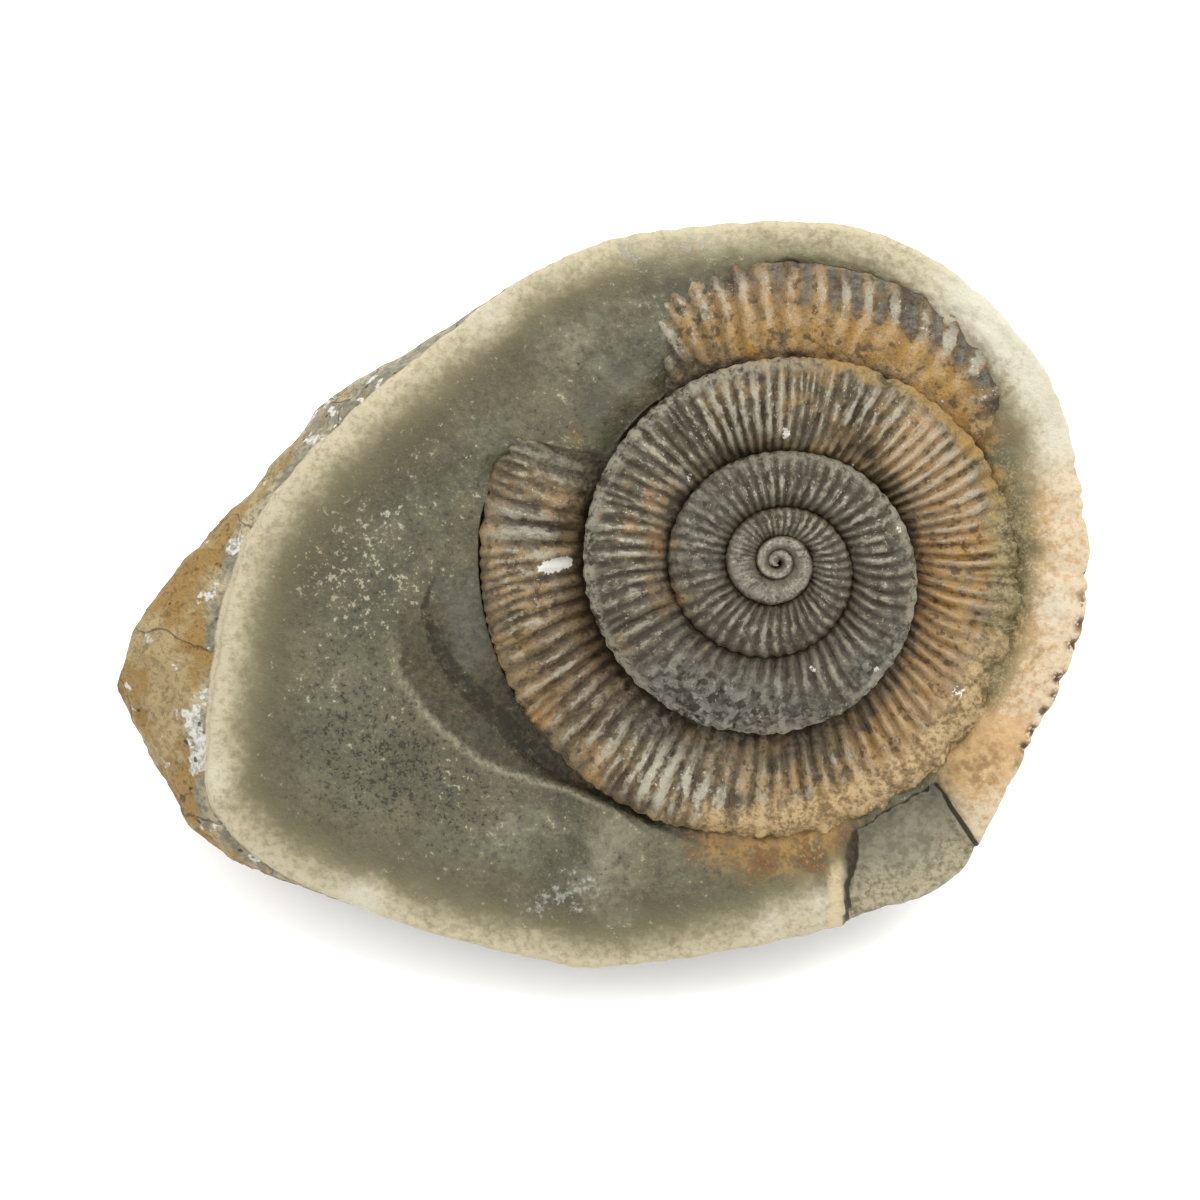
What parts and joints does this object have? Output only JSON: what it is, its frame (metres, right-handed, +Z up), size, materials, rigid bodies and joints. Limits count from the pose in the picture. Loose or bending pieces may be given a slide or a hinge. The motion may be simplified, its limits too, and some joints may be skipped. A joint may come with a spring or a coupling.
{
  "type": "ammonite nodule",
  "caption": "Half of a split limestone nodule with a coiled, ribbed ammonite shell in its pale-rimmed fracture face, lying on its rounded back.",
  "frame": {"origin": "centre of the bounding box, on the surface that the half rests on", "axes": "+X to the right along the long side of the face, +Y to the back, where the face is high, +Z up; the fracture face leans towards -Y"},
  "size_m": [0.103, 0.068, 0.054],
  "materials": {
    "limestone": "fine grained and matte, grey-olive inside, cream rim, weathered ochre and buff crust",
    "fossil_shell": "ribbed calcite shell, dark grey-brown at the coil's middle, brown to ochre outside, slightly glossy ribs"
  },
  "bodies": {
    "root": {"nodule_half": "limestone", "ammonite": "fossil_shell"}
  },
  "joints": []
}
